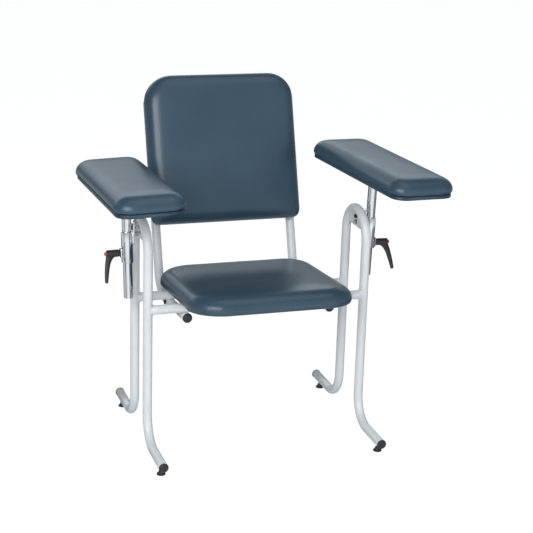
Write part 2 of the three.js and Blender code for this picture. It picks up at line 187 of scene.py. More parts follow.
def bent_line(corners, radius, step=math.radians(3), straight=0.02):
    """Points along a polyline in the YZ plane with each inner corner rounded, and their directions."""
    points, tangents = [], []

    def put(point, tangent):
        if not points or (point - points[-1]).length > 1e-6:
            points.append(point)
            tangents.append(tangent)

    corners = [Vector((0, y, z)) for y, z in corners]
    put(corners[0], (corners[1] - corners[0]).normalized())
    for before, corner, after in zip(corners, corners[1:], corners[2:]):
        a, b = (corner - before).normalized(), (after - corner).normalized()
        turn = a.angle(b)
        start = corner - a * radius * math.tan(turn / 2)
        inward = (b - a * a.dot(b)).normalized()
        gap = start - points[-1]
        for i in range(1, int(gap.length / straight)):
            put(start - a * (gap.length - i * straight), a)
        count = max(2, math.ceil(turn / step))
        for i in range(count + 1):
            t = turn * i / count
            put(start + a * radius * math.sin(t) + inward * radius * (1 - math.cos(t)),
                a * math.cos(t) + inward * math.sin(t))
    last = (corners[-1] - corners[-2]).normalized()
    put(corners[-1], last)
    return points, tangents


def tube(name, points, tangents, radius=TUBE_RADIUS, sides=40):
    """Round tube in a plane of constant X, with its ends chamfered a little."""
    rings = []
    chamfer = 0.5 * MM
    stations = [(points[0], tangents[0], radius - chamfer)]
    stations.append((points[0] + tangents[0] * chamfer, tangents[0], radius))
    stations += [(p, t, radius) for p, t in list(zip(points, tangents))[1:-1]]
    stations.append((points[-1] - tangents[-1] * chamfer, tangents[-1], radius))
    stations.append((points[-1], tangents[-1], radius - chamfer))
    for p, t, r in stations:
        across = Vector((1, 0, 0))
        up = t.cross(across).normalized()
        rings.append([p + (across * math.cos(a) + up * math.sin(a)) * r
                      for a in (2 * math.pi * k / sides for k in range(sides))])
    return sharpen(loft(name, rings), 50)


def rounded_outline(half_x, half_y, radius, corner_steps=10, side_step=0.02):
    """Closed outline centred on the origin; radius is one number, or one each for +x+y, -x+y, -x-y, +x-y."""
    radii = [radius] * 4 if isinstance(radius, float) else list(radius)
    points = []
    for k, (sx, sy) in enumerate(((1, 1), (-1, 1), (-1, -1), (1, -1))):
        r = radii[k]
        for i in range(corner_steps + 1):
            a = (k + i / corner_steps) * math.pi / 2
            x, y = sx * (half_x - r) + r * math.cos(a), sy * (half_y - r) + r * math.sin(a)
            points.append(Vector((x, y)))
        after = (k + 1) % 4
        nx, ny = ((1, 1), (-1, 1), (-1, -1), (1, -1))[after]
        a = after * math.pi / 2
        end = Vector((nx * (half_x - radii[after]) + radii[after] * math.cos(a),
                      ny * (half_y - radii[after]) + radii[after] * math.sin(a)))
        start = points[-1]
        count = int((end - start).length / side_step)
        points += [start.lerp(end, (i + 1) / (count + 1)) for i in range(count)]
    return points


# ---------------------------------------------------------------- materials


def nodes_for(name):
    material = bpy.data.materials.new(name)
    material.use_nodes = True
    tree = material.node_tree
    return material, tree, tree.nodes["Principled BSDF"]


def link(tree, source, target):
    tree.links.new(source, target)


def noise_node(tree, coords, scale, detail=3.0, roughness=0.5):
    n = tree.nodes.new("ShaderNodeTexNoise")
    n.inputs["Scale"].default_value = scale
    n.inputs["Detail"].default_value = detail
    n.inputs["Roughness"].default_value = roughness
    link(tree, coords, n.inputs["Vector"])
    return n.outputs["Fac"]


def spread(tree, value, low, high, from_low=0.3, from_high=0.7):
    n = tree.nodes.new("ShaderNodeMapRange")
    n.inputs["From Min"].default_value = from_low
    n.inputs["From Max"].default_value = from_high
    n.inputs["To Min"].default_value = low
    n.inputs["To Max"].default_value = high
    link(tree, value, n.inputs["Value"])
    return n.outputs["Result"]


def mixed(tree, factor, a, b):
    n = tree.nodes.new("ShaderNodeMix")
    n.data_type = "RGBA"
    n.inputs[6].default_value = (*a, 1)
    n.inputs[7].default_value = (*b, 1)
    link(tree, factor, n.inputs["Factor"])
    return n.outputs[2]


def bump(tree, shader, height, strength, distance, before=None):
    n = tree.nodes.new("ShaderNodeBump")
    n.inputs["Strength"].default_value = strength
    n.inputs["Distance"].default_value = distance
    link(tree, height, n.inputs["Height"])
    if before is not None:
        link(tree, before, n.inputs["Normal"])
    link(tree, n.outputs["Normal"], shader.inputs["Normal"])
    return n.outputs["Normal"]


def surface(name, dark, light, roughness, metallic=0.0, patch=9.0, grain=900.0, grain_depth=0.05 * MM,
            grain_strength=0.3, specular=0.5, coat=0.0, coat_roughness=0.2):
    """Colour that drifts between dark and light in patches, with uneven roughness and a fine grain."""
    material, tree, shader = nodes_for(name)
    coords = tree.nodes.new("ShaderNodeTexCoord").outputs["Object"]
    cloud = noise_node(tree, coords, patch, 4.0)
    fine = noise_node(tree, coords, grain, 2.0)
    link(tree, mixed(tree, spread(tree, cloud, 0, 1), dark, light), shader.inputs["Base Color"])
    link(tree, spread(tree, cloud, roughness * 0.88, roughness * 1.12), shader.inputs["Roughness"])
    bump(tree, shader, fine, grain_strength, grain_depth)
    shader.inputs["Metallic"].default_value = metallic
    shader.inputs["Specular IOR Level"].default_value = specular
    shader.inputs["Coat Weight"].default_value = coat
    shader.inputs["Coat Roughness"].default_value = coat_roughness
    return material


def vinyl_material():
    """Upholstery vinyl: pebbled grain, a slight sheen and faint long-wave unevenness."""
    material, tree, shader = nodes_for("slate_vinyl")
    coords = tree.nodes.new("ShaderNodeTexCoord").outputs["Object"]
    cloud = noise_node(tree, coords, 7.0, 4.0)
    link(tree, mixed(tree, spread(tree, cloud, 0, 1), (0.033, 0.067, 0.101), (0.039, 0.077, 0.113)),
         shader.inputs["Base Color"])
    link(tree, spread(tree, cloud, 0.29, 0.35), shader.inputs["Roughness"])
    cells = tree.nodes.new("ShaderNodeTexVoronoi")
    cells.feature = "SMOOTH_F1"
    cells.inputs["Scale"].default_value = 850.0
    cells.inputs["Smoothness"].default_value = 0.8
    link(tree, coords, cells.inputs["Vector"])
    pebbles = bump(tree, shader, cells.outputs["Distance"], 0.16, 0.12 * MM)
    bump(tree, shader, noise_node(tree, coords, 60.0, 2.0), 0.10, 0.5 * MM, pebbles)
    shader.inputs["Specular IOR Level"].default_value = 0.5
    return material


def wood_material():
    material, tree, shader = nodes_for("plywood")
    coords = tree.nodes.new("ShaderNodeTexCoord").outputs["Object"]
    mapping = tree.nodes.new("ShaderNodeMapping")
    mapping.inputs["Scale"].default_value = (60.0, 4.0, 60.0)
    link(tree, coords, mapping.inputs["Vector"])
    grain = noise_node(tree, mapping.outputs["Vector"], 1.5, 6.0, 0.65)
    link(tree, mixed(tree, spread(tree, grain, 0, 1), (0.36, 0.23, 0.12), (0.55, 0.39, 0.23)),
         shader.inputs["Base Color"])
    link(tree, spread(tree, grain, 0.55, 0.72), shader.inputs["Roughness"])
    bump(tree, shader, grain, 0.3, 0.2 * MM)
    return material


VINYL = vinyl_material()
WOOD = wood_material()
PAINT = surface("powder_coat", (0.745, 0.772, 0.788), (0.785, 0.808, 0.822), 0.36, patch=14.0, grain=650.0,
                grain_depth=0.08 * MM, grain_strength=0.22, coat=0.25, coat_roughness=0.18)
CHROME = surface("chrome_plate", (0.74, 0.72, 0.71), (0.82, 0.80, 0.79), 0.075, metallic=1.0, patch=30.0,
                 grain=1500.0, grain_depth=0.01 * MM, grain_strength=0.08)
BLACK = surface("black_plastic", (0.018, 0.017, 0.018), (0.030, 0.028, 0.030), 0.46, patch=60.0, grain=1400.0,
                grain_depth=0.06 * MM, grain_strength=0.35)
RED = surface("red_plastic", (0.62, 0.030, 0.022), (0.72, 0.045, 0.032), 0.30, patch=200.0, grain=1800.0,
              grain_depth=0.02 * MM, grain_strength=0.15, coat=0.2)
ZINC = surface("zinc_plate", (0.52, 0.46, 0.33), (0.68, 0.62, 0.48), 0.30, metallic=0.9, patch=220.0,
               grain=900.0, grain_depth=0.03 * MM, grain_strength=0.2)
BLACK_STEEL = surface("black_steel", (0.022, 0.020, 0.019), (0.05, 0.045, 0.042), 0.38, metallic=0.7,
                      patch=180.0, grain=1200.0, grain_depth=0.04 * MM, grain_strength=0.25)
STEEL = surface("plain_steel", (0.36, 0.36, 0.37), (0.48, 0.48, 0.49), 0.34, metallic=1.0, patch=90.0,
                grain=1200.0, grain_depth=0.03 * MM, grain_strength=0.25)

SLOT_MATERIALS = {
    "painted_tube": PAINT,
    "chrome": CHROME,
    "vinyl": VINYL,
    "plywood": WOOD,
    "black_plastic": BLACK,
    "red_plastic": RED,
    "black_steel": BLACK_STEEL,
    "zinc": ZINC,
    "plain_steel": STEEL,
}


def dress(obj, slot, body, *replaced):
    """Finish, CAD body and the CAD nodes that a new piece stands for."""
    obj.data.materials.clear()
    obj.data.materials.append(SLOT_MATERIALS[slot])
    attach(obj, body)
    if replaced:
        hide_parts(*replaced)
    return obj


for part in frame["record"]["subparts"]:
    node = frame["nodes"][part["node"]]
    node.data.materials.clear()
    node.data.materials.append(SLOT_MATERIALS[part["material_slot"]])


# ---------------------------------------------------------------- camera, floor and light


CAMERA_YAW, CAMERA_PITCH, CAMERA_ROLL = (math.radians(a) for a in (-18.26, 17.58, 1.79))
CAMERA_DISTANCE = 4.0983
CAMERA_TARGET = Vector((0.0563, 0.0299, 0.4700))  # from the floor at the middle of the chair
LENS, SENSOR = 99.12, 36
FLOOR_HALF = 40


def aim_camera():
    yaw, pitch, roll = CAMERA_YAW, CAMERA_PITCH, CAMERA_ROLL
    back = Vector((math.sin(yaw) * math.cos(pitch), -math.cos(yaw) * math.cos(pitch), math.sin(pitch)))
    right = (-back).cross(Vector((0, 0, 1))).normalized()
    up = right.cross(-back)
    rolled_right = right * math.cos(roll) + up * math.sin(roll)
    rolled_up = up * math.cos(roll) - right * math.sin(roll)
    target = ORIGIN + CAMERA_TARGET
    matrix = Matrix((rolled_right, rolled_up, back)).transposed().to_4x4()
    camera = bpy.data.cameras.new("camera")
    camera.sensor_width = SENSOR
    camera.lens = LENS
    camera.clip_end = 100
    obj = bpy.data.objects.new("camera", camera)
    scene.collection.objects.link(obj)
    obj.matrix_world = Matrix.Translation(target + back * CAMERA_DISTANCE) @ matrix
    scene.camera = obj


def card(name, low_angle, high_angle, color, low=-2.6, high=0.0, radius=3.2):
    """Curved card round the chair, seen only in reflections; degrees run from the camera to its right."""
    facing = math.atan2(-math.cos(CAMERA_YAW), math.sin(CAMERA_YAW))
    steps = 12
    verts = []
    for i in range(steps + 1):
        a = facing + math.radians(low_angle + (high_angle - low_angle) * i / steps)
        x, y = ORIGIN.x + radius * math.cos(a), ORIGIN.y + radius * math.sin(a)
        verts += [(x, y, low), (x, y, high)]
    obj = make_object(name, verts, [(2 * i, 2 * i + 2, 2 * i + 3, 2 * i + 1) for i in range(steps)])
    material, tree, shader = nodes_for(name)
    shader.inputs["Base Color"].default_value = (0, 0, 0, 1)
    shader.inputs["Specular IOR Level"].default_value = 0.0
    shader.inputs["Emission Color"].default_value = (*color, 1)
    shader.inputs["Emission Strength"].default_value = 1.0
    obj.data.materials.append(material)
    obj.visible_camera = obj.visible_diffuse = obj.visible_shadow = obj.visible_transmission = False


def sky():
    """Dim overhead, lighter in front and below the horizon, and bright low down behind the chair."""
    world = bpy.data.worlds.new("studio")
    world.use_nodes = True
    tree = world.node_tree
    split = tree.nodes.new("ShaderNodeSeparateXYZ")
    link(tree, tree.nodes.new("ShaderNodeTexCoord").outputs["Generated"], split.inputs["Vector"])

    def combine(operation, first, second):
        n = tree.nodes.new("ShaderNodeMath")
        n.operation = operation
        link(tree, first, n.inputs[0])
        link(tree, second, n.inputs[1])
        return n.outputs["Value"]

    height = split.outputs["Z"]
    behind = spread(tree, split.outputs["Y"], 0, 2.1, 0.55, 0.9)
    rising = spread(tree, height, 0, 1, 0.22, 0.28)
    fading = spread(tree, height, 1, 0, 0.36, 0.6)
    glow = combine("MULTIPLY", behind, combine("MULTIPLY", rising, fading))
    base = spread(tree, height, 0.62, 0.14, -0.08, 0.06)
    front = spread(tree, split.outputs["Y"], 0.46, 0, -0.9, -0.5)
    total = combine("ADD", combine("ADD", glow, front), base)
    link(tree, total, tree.nodes["Background"].inputs["Strength"])
    tree.nodes["Background"].inputs["Color"].default_value = (0.90, 1.0, 1.08, 1)
    scene.world = world


def softbox(name, position, target, size, power):
    light = bpy.data.lights.new(name, "AREA")
    light.shape = "RECTANGLE"
    light.size, light.size_y = size
    light.energy = power
    obj = bpy.data.objects.new(name, light)
    scene.collection.objects.link(obj)
    obj.location = position
    obj.rotation_euler = (Vector(target) - Vector(position)).to_track_quat("-Z", "Y").to_euler()
    return obj


def studio():
    f = FLOOR_HALF
    corners = [(-f, -f), (f, -f), (f, f), (-f, f)]
    floor = make_object("floor", [(x, y, 0) for x, y in corners], [(0, 1, 2, 3)])
    paper = surface("floor_paper", (0.14, 0.14, 0.14), (0.15, 0.15, 0.15), 0.9, patch=0.5, grain=40.0,
                    grain_strength=0.02, specular=0.0)
    shader = paper.node_tree.nodes["Principled BSDF"]
    shader.inputs["Emission Color"].default_value = (1, 1, 1, 1)
    shader.inputs["Emission Strength"].default_value = 0.95
    floor.data.materials.append(paper)
    floor.visible_glossy = floor.visible_diffuse = floor.visible_shadow = False
    bounce = make_object("floor_bounce", [(x, y, -0.002) for x, y in corners], [(0, 1, 2, 3)])
    card_stock = surface("bounce_paper", (0.70, 0.70, 0.70), (0.72, 0.72, 0.72), 0.9, patch=0.5, grain=40.0,
                         grain_strength=0.02, specular=0.0)
    bounce.data.materials.append(card_stock)
    bounce.visible_camera = bounce.visible_glossy = False
    sky()
    card("left_edge_card", -158, -118, (0.05, 0.045, 0.045))
    card("right_edge_card", 118, 158, (0.05, 0.045, 0.045))
    card("right_card", 60, 118, (0.26, 0.25, 0.25))
    card("warm_card", -54, -43, (0.22, 0.13, 0.11))
    softbox("key", (-2.4, -3.0, 2.3), (0, 0, 0.55), (2.8, 2.2), 112)
    softbox("top", (0.4, -0.4, 3.4), (0, 0, 0.4), (2.4, 2.4), 14)
    fill = softbox("fill", (2.8, -3.0, 1.5), (0, 0, 0.5), (1.8, 2.0), 38)
    fill.visible_glossy = False
    scene.view_settings.view_transform = "Standard"


aim_camera()
studio()


# ---------------------------------------------------------------- frame tubes


def weld_fillet(name, centre, direction, size=5 * MM, steps=48):
    """Smooth paint-filled weld where a cross tube's end meets a leg of the same diameter."""
    rings = []
    r = TUBE_RADIUS
    for k in range(steps):
        a = 2 * math.pi * k / steps
        y, z = r * math.cos(a), r * math.sin(a)
        sign = 1 if z >= 0 else -1
        s = 0.25 * MM + size * abs(math.sin(a)) ** 0.8
        x = math.sqrt(max(r * r - y * y, 0))
        hub = Vector((x + s, y, z + sign * s))
        ring = [Vector((x - 1.2 * MM, y * 0.93, z + sign * s)),
                Vector((x, y, z + sign * s))]
        for i in range(1, 7):
            t = math.pi / 2 * i / 7
            ring.append(hub - Vector((s * math.cos(t), 0, sign * s * math.sin(t))))
        ring += [Vector((x + s, y, z)), Vector((x + s, y * 0.93, z - sign * 1.2 * MM)),
                 Vector((x - 1.2 * MM, y * 0.93, z - sign * 1.2 * MM))]
        rings.append([Vector((centre.x + direction * p.x, centre.y + p.y, centre.z + p.z)) for p in ring])
    return loft(name, rings, loop=True)


def side_frame(name, sign):
    low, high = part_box(f"{name}_side_frame")
    r = TUBE_RADIUS
    y0, top, foot = ORIGIN.y, high.z - r, low.z + r
    points, tangents = bent_line(
        [(low.y, foot), (y0 - HALF_PITCH, foot), (y0 - HALF_PITCH, top), (y0 + HALF_PITCH, top),
         (y0 + HALF_PITCH, foot), (high.y, foot)], BEND_RADIUS)
    obj = tube(f"{name}_frame_tube", points, tangents)
    place(obj, Matrix.Translation((ORIGIN.x + sign * HALF_WIDTH, 0, 0)))
    return dress(obj, "painted_tube", "frame", f"{name}_side_frame")


def cross_tube(name):
    centre = middle(name)
    reach = HALF_WIDTH - 6 * MM
    count = 24
    points = [Vector((0, -reach + 2 * reach * i / count, 0)) for i in range(count + 1)]
    obj = tube(f"{name}_tube", points, [Vector((0, 1, 0))] * len(points))
    place(obj, Matrix.Translation(centre) @ Matrix.Rotation(math.pi / 2, 4, "Z"))
    dress(obj, "painted_tube", "frame", name)
    for side, sign in SIDES:
        leg = Vector((ORIGIN.x + sign * HALF_WIDTH, centre.y, centre.z))
        dress(weld_fillet(f"{name}_{side}_weld", leg, -sign), "painted_tube", "frame")


def back_rail(name, sign):
    """Runs under the seat and bends up behind the back, drawn in the seat's frame."""
    plug = SEAT.inverted() @ middle(f"{name}_rail_plug")
    to_seat = SEAT.inverted() @ BACK
    base = to_seat @ Vector((0, 0, 0))
    along = (to_seat.to_3x3() @ Vector((0, 0, 1))).normalized()
    height = -RAIL_DROP
    corner_y = base.y - (base.z - height) * along.y / along.z
    top = base + along * UPRIGHT_LENGTH
    points, tangents = bent_line([(RAIL_START, height), (corner_y, height), (top.y, top.z)], BEND_RADIUS)
    obj = tube(f"{name}_rail_tube", points, tangents)
    place(obj, SEAT @ Matrix.Translation((plug.x, 0, 0)))
    return dress(obj, "painted_tube", "frame", f"{name}_back_rail")


for side, sign in SIDES:
    side_frame(side, sign)
    back_rail(side, sign)
cross_tube("front_cross_tube")
cross_tube("rear_cross_tube")


# ---------------------------------------------------------------- plugs and glides


def end_plug(name, node, matrix, body="frame", flange=TUBE_RADIUS + 0.7 * MM):
    """Moulded cap: a rounded flange with a shallow ring round its dome."""
    f = flange
    profile = [(0, -6 * MM), (10 * MM, -6 * MM), (10.5 * MM, GAP), (f - 0.4 * MM, GAP), (f, 0.7 * MM),
               (f, 1.5 * MM), (f - 0.6 * MM, 2.6 * MM), (f - 1.8 * MM, 3.6 * MM), (f - 3.0 * MM, 4.1 * MM),
               (f - 3.4 * MM, 3.9 * MM), (f - 3.9 * MM, 4.2 * MM), (f - 6 * MM, 4.9 * MM), (4 * MM, 5.3 * MM),
               (0, 5.4 * MM)]
    obj = place(lathe(name, profile), matrix)
    return dress(obj, "black_plastic", body, node)


def glide(name, node, body):
    """Screw glide: a flared foot with a moulded collar, and its threaded stem."""
    low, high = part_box(node)
    x, y = (low.x + high.x) / 2, (low.y + high.y) / 2
    r, h = 12 * MM, 12 * MM
    profile = [(0, 0), (r - 1.6 * MM, 0), (r - 0.5 * MM, 0.5 * MM), (r, 1.6 * MM), (r, 3.2 * MM),
               (r - 0.5 * MM, 4.0 * MM), (r - 1.6 * MM, 4.6 * MM), (r - 3.6 * MM, 6.6 * MM),
               (r - 5.2 * MM, 9.4 * MM), (r - 5.6 * MM, h), (4.1 * MM, h)]
    pitch, top = 1.25 * MM, high.z - 2 * MM
    z = h
    while z + pitch < top:
        profile += [(3.5 * MM, z + 0.25 * pitch), (4.0 * MM, z + 0.75 * pitch)]
        z += pitch
    profile += [(3.4 * MM, top), (0, top)]
    obj = place(lathe(name, profile, 40), Matrix.Translation((x, y, 0)))
    return dress(sharpen(obj, 60), "black_plastic", body, node)


for side, sign in SIDES:
    leg_x = ORIGIN.x + sign * HALF_WIDTH
    low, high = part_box(f"{side}_side_frame")
    foot_z = low.z + TUBE_RADIUS
    end_plug(f"{side}_front_foot_cap", f"{side}_front_foot_plug",
             Matrix.Translation((leg_x, low.y, foot_z)) @ Matrix.Rotation(math.pi / 2, 4, "X"))
    end_plug(f"{side}_rear_foot_cap", f"{side}_rear_foot_plug",
             Matrix.Translation((leg_x, high.y, foot_z)) @ Matrix.Rotation(-math.pi / 2, 4, "X"))
    rail_x = (SEAT.inverted() @ middle(f"{side}_rail_plug")).x
    rail_end = SEAT @ Matrix.Translation((rail_x, RAIL_START, -RAIL_DROP))
    end_plug(f"{side}_rail_cap", f"{side}_rail_plug", rail_end @ Matrix.Rotation(math.pi / 2, 4, "X"))
    end_plug(f"{side}_upright_cap", f"{side}_upright_plug",
             BACK @ Matrix.Translation((rail_x, 0, UPRIGHT_LENGTH)), flange=TUBE_RADIUS)
    for end in ("front", "rear"):
        glide(f"{side}_{end}_screw_glide", f"{side}_{end}_glide", f"{side}_{end}_foot")


# ---------------------------------------------------------------- upholstery


def apply_modifier(obj, modifier):
    with bpy.context.temp_override(object=obj, active_object=obj, selected_objects=[obj]):
        bpy.ops.object.modifier_apply(modifier=modifier.name)


def coordinates(obj):
    co = np.zeros(len(obj.data.vertices) * 3, np.float32)
    obj.data.vertices.foreach_get("co", co)
    return co.reshape(-1, 3)


def set_coordinates(obj, co):
    obj.data.vertices.foreach_set("co", co.astype(np.float32).ravel())
    obj.data.update()


def evened(obj, field, rounds=60):
    """Averages a per-vertex amount over its neighbours, so that only the broad swell is left."""
    edges = np.zeros(len(obj.data.edges) * 2, np.int32)
    obj.data.edges.foreach_get("vertices", edges)
    start, end = edges.reshape(-1, 2).T
    count = len(field)
    neighbours = np.maximum(np.bincount(start, minlength=count) + np.bincount(end, minlength=count), 1)
    for _ in range(rounds):
        total = np.bincount(start, field[end], count) + np.bincount(end, field[start], count)
        field = (field + total / neighbours) / 2
    return field


def outward(obj):
    normals = np.zeros(len(obj.data.vertices) * 3, np.float32)
    obj.data.vertex_normals.foreach_get("vector", normals)
    return normals.reshape(-1, 3)


def inflate(obj, voxel, pressure, cap, held_below, frames=20):
    """Remeshes a foam blank and swells it by what cloth under pressure would move outward, at most cap."""
    remesh = obj.modifiers.new("remesh", "REMESH")
    remesh.mode = "VOXEL"
    remesh.voxel_size = voxel
    remesh.use_smooth_shade = True
    apply_modifier(obj, remesh)
    rest = coordinates(obj).copy()
    group = obj.vertex_groups.new(name="held")
    group.add([int(i) for i in np.nonzero(rest[:, 2] < held_below)[0]], 1.0, "REPLACE")
    cloth = obj.modifiers.new("cloth", "CLOTH")
    settings = cloth.settings
    settings.quality = 5
    settings.mass = 0.3
    settings.tension_stiffness = 40
    settings.compression_stiffness = 40
    settings.shear_stiffness = 20
    settings.bending_stiffness = 8
    settings.use_pressure = True
    settings.uniform_pressure_force = pressure
    settings.effector_weights.gravity = 0
    settings.vertex_group_mass = "held"
    cloth.collision_settings.use_collision = False
    cloth.point_cache.frame_start, cloth.point_cache.frame_end = 1, frames
    for f in range(1, frames + 1):
        scene.frame_set(f)
    evaluated = obj.evaluated_get(bpy.context.evaluated_depsgraph_get())
    moved = np.zeros(len(rest) * 3, np.float32)
    evaluated.data.vertices.foreach_get("co", moved)
    shift = moved.reshape(-1, 3) - rest
    obj.modifiers.remove(cloth)
    normals = outward(obj)
    swell = evened(obj, np.clip((shift * normals).sum(axis=1), 0, cap))
    set_coordinates(obj, rest + normals * swell[:, None])
    scene.frame_set(1)
    smooth = obj.modifiers.new("smooth", "SMOOTH")
    smooth.factor = 0.5
    smooth.iterations = 4
    apply_modifier(obj, smooth)
    finer = obj.modifiers.new("finer", "SUBSURF")
    finer.levels = finer.render_levels = 1
    return obj


def foam_blank(name, half_x, half_y, radius, profile):
    """Stack of outlines, each drawn in by an inset at a height; the corners tighten as they are drawn in."""
    radii = [radius] * 4 if isinstance(radius, float) else list(radius)
    rings = []
    for inset, height in profile:
        drawn = [max(r - inset, 12 * MM) for r in radii]
        outline = rounded_outline(half_x - inset, half_y - inset, drawn, side_step=1.0)
        rings.append([Vector((p.x, p.y, height)) for p in outline])
    return loft(name, rings)


def shoulder(inset, low, high, power=2.0, steps=8):
    """Profile pairs for a rounded shoulder from (0, low) to (inset, high)."""
    pairs = []
    for i in range(steps + 1):
        a = math.pi / 2 * i / steps
        across, up = 1 - math.cos(a) ** (2 / power), math.sin(a) ** (2 / power)
        pairs.append((inset * across, low + (high - low) * up))
    return pairs


def hem(pocket):
    """Profile pairs for the underside: the board's recess, and the cover rolled round the lower edge."""
    return [(pocket, 13.2 * MM), (pocket, 1.5 * MM), (pocket - 2 * MM, 0.2 * MM), (5 * MM, 0.2 * MM),
            (1.4 * MM, 2.4 * MM), (0.2 * MM, 6 * MM), (0, 11 * MM)]


def seat():
    half_x, front, rear = 226.5 * MM, -183.5 * MM, 276.5 * MM
    half_y = (rear - front) / 2
    profile = hem(22.5 * MM) + shoulder(44 * MM, 17 * MM, 48.5 * MM, 2.0)
    profile += [(80 * MM, 50 * MM), (130 * MM, 51 * MM)]
    radii = [86 * MM, 96 * MM, 94 * MM, 84 * MM]
    obj = foam_blank("seat_pad", half_x + 1.3 * MM, half_y + 2.0 * MM, radii, profile)
    inflate(obj, 6 * MM, 4.0, 3 * MM, 16 * MM)
    obj.data.transform(SEAT @ Matrix.Translation((1.0 * MM, (front + rear) / 2, 0)))
    dress(obj, "vinyl", "frame", "seat_cushion")
    board = slab("seat_underside", half_x - 24 * MM, half_y - 24 * MM, [62 * MM] * 4, 12 * MM)
    place(board, SEAT @ Matrix.Translation((0, (front + rear) / 2, 0)))
    dress(board, "plywood", "frame", "seat_board")


def back():
    half_x, half_y = 223 * MM, 214 * MM
    profile = hem(14.5 * MM) + shoulder(42 * MM, 18 * MM, 53.5 * MM, 2.0)
    profile += [(72 * MM, 55 * MM), (120 * MM, 56 * MM)]
    radii = [72 * MM, 82 * MM, 24 * MM, 24 * MM]
    obj = foam_blank("back_pad", half_x - 0.3 * MM, half_y - 0.4 * MM, radii, profile)
    inflate(obj, 6 * MM, 4.0, 3 * MM, 16 * MM)
    rear_face = -TUBE_RADIUS - GAP
    lower_edge = 37 * MM
    stand = Matrix.Translation((0, rear_face, lower_edge + half_y)) @ Matrix.Rotation(math.pi / 2, 4, "X")
    obj.data.transform(BACK @ Matrix.Translation((1.5 * MM, 0, 0)) @ stand)
    dress(obj, "vinyl", "frame", "back_cushion")
    corners = [62 * MM, 62 * MM, 8 * MM, 8 * MM]
    board = slab("back_cover", half_x - 16 * MM, half_y - 16 * MM, corners, 12 * MM, 1.5 * MM)
    dress(place(board, BACK @ stand), "vinyl", "frame", "back_board")


def slab(name, half_x, half_y, radii, thickness, edge=0.8 * MM):
    """Flat board with its edges eased."""
    rings = []
    for inset, height in ((edge, 0), (edge * 0.3, edge * 0.3), (0, edge), (0, thickness - edge),
                          (edge * 0.3, thickness - edge * 0.3), (edge, thickness)):
        outline = rounded_outline(half_x - inset, half_y - inset, [r - inset for r in radii])
        rings.append([Vector((p.x, p.y, height)) for p in outline])
    return sharpen(loft(name, rings), 25)


PAD_SETTING = {"left": (1.1, -1.8), "right": (6.2, 0.5)}  # yaw and tilt, in degrees
PAD_FORWARD = 34 * MM
SCREW_CIRCLE = 34 * MM


def pad_frame(side):
    """The arm plate's frame: X to the sitter's left, Y back, Z up from the pad's underside."""
    yaw, tilt = (math.radians(a) for a in PAD_SETTING[side])
    upright = joint_frame(joints[f"{side}_arm_swivel"], 1)
    return upright @ Matrix.Rotation(yaw, 4, "Z") @ Matrix.Rotation(tilt, 4, "X")


def arm_pads():
    half_x, half_y = 91 * MM, 262.5 * MM
    profile = [(7 * MM, 11.2 * MM), (3.4 * MM, 11.5 * MM), (1.2 * MM, 13 * MM), (0.2 * MM, 15.5 * MM),
               (0, 18 * MM)]
    profile += shoulder(41 * MM, 19 * MM, 50.8 * MM, 1.95)
    profile += [(52 * MM, 51 * MM), (70 * MM, 51.3 * MM)]
    blank = foam_blank("arm_blank", half_x + 4 * MM, half_y + 2.6 * MM, 48 * MM, profile)
    inflate(blank, 4 * MM, 4.0, 2 * MM, 13 * MM)
    blanks = {"left": blank, "right": blank.copy()}
    blanks["right"].data = blank.data.copy()
    scene.collection.objects.link(blanks["right"])
    for side, obj in blanks.items():
        pad = pad_frame(side) @ Matrix.Translation((0, -PAD_FORWARD, 0))
        obj.name = f"{side}_arm_pad"
        obj.data.transform(pad)
        dress(obj, "vinyl", f"{side}_arm", f"{side}_arm_cushion")
        arm_band(side, pad, half_x, half_y)


def arm_band(side, pad, half_x, half_y):
    """Vinyl-wrapped base panel under the arm cushion, its edges rolled."""
    rings = []
    profile = [(40 * MM, 0.0), (4.2 * MM, 0.0), (2.8 * MM, 0.4 * MM), (1.9 * MM, 1.3 * MM),
               (1.6 * MM, 3 * MM), (2.0 * MM, 6.5 * MM), (2.4 * MM, 8.4 * MM), (4 * MM, 9.6 * MM),
               (6 * MM, 10 * MM), (40 * MM, 10 * MM)]
    for inset, height in profile:
        outline = rounded_outline(half_x - inset, half_y - inset, max(40 * MM - inset, 6 * MM))
        rings.append([Vector((p.x, p.y, height)) for p in outline])
    obj = place(loft(f"{side}_arm_band", rings), pad)
    dress(obj, "vinyl", f"{side}_arm", f"{side}_arm_base")


seat()
back()
arm_pads()


# ---------------------------------------------------------------- fasteners

ALONG_X = Matrix.Rotation(math.pi / 2, 4, "Y")


def hex_head(name, radius, height, shank, length):
    """Hexagon-headed bolt, its head below Z = 0 with chamfered corners, its shank above."""
    count = 36
    rings = []

    def hexagon(scale, limit, z):
        ring = []
        for k in range(count):
            a = 2 * math.pi * k / count
            across = radius * math.cos(math.pi / 6) / math.cos(a % (math.pi / 3) - math.pi / 6)
            r = min(across * scale, limit)
            ring.append(Vector((r * math.cos(a), r * math.sin(a), z)))
        return ring

    rings.append(hexagon(1, radius * 0.88, -height))
    rings.append(hexagon(1, radius * 0.95, -height + 0.35 * MM))
    rings.append(hexagon(1, radius, -height + 0.9 * MM))
    rings.append(hexagon(1, radius, -0.5 * MM))
    rings.append(hexagon(1, radius * 0.93, 0))
    rings.append(hexagon(1, shank, 0))
    rings.append(hexagon(1, shank, length))
    return sharpen(loft(name, rings), 28)


def washer(name, bore, radius, thickness):
    e = 0.25 * MM
    return sharpen(lathe(name, [(bore, 0), (radius - e, 0), (radius, e), (radius, thickness - e),
                                (radius - e, thickness), (bore, thickness)], 40), 50)


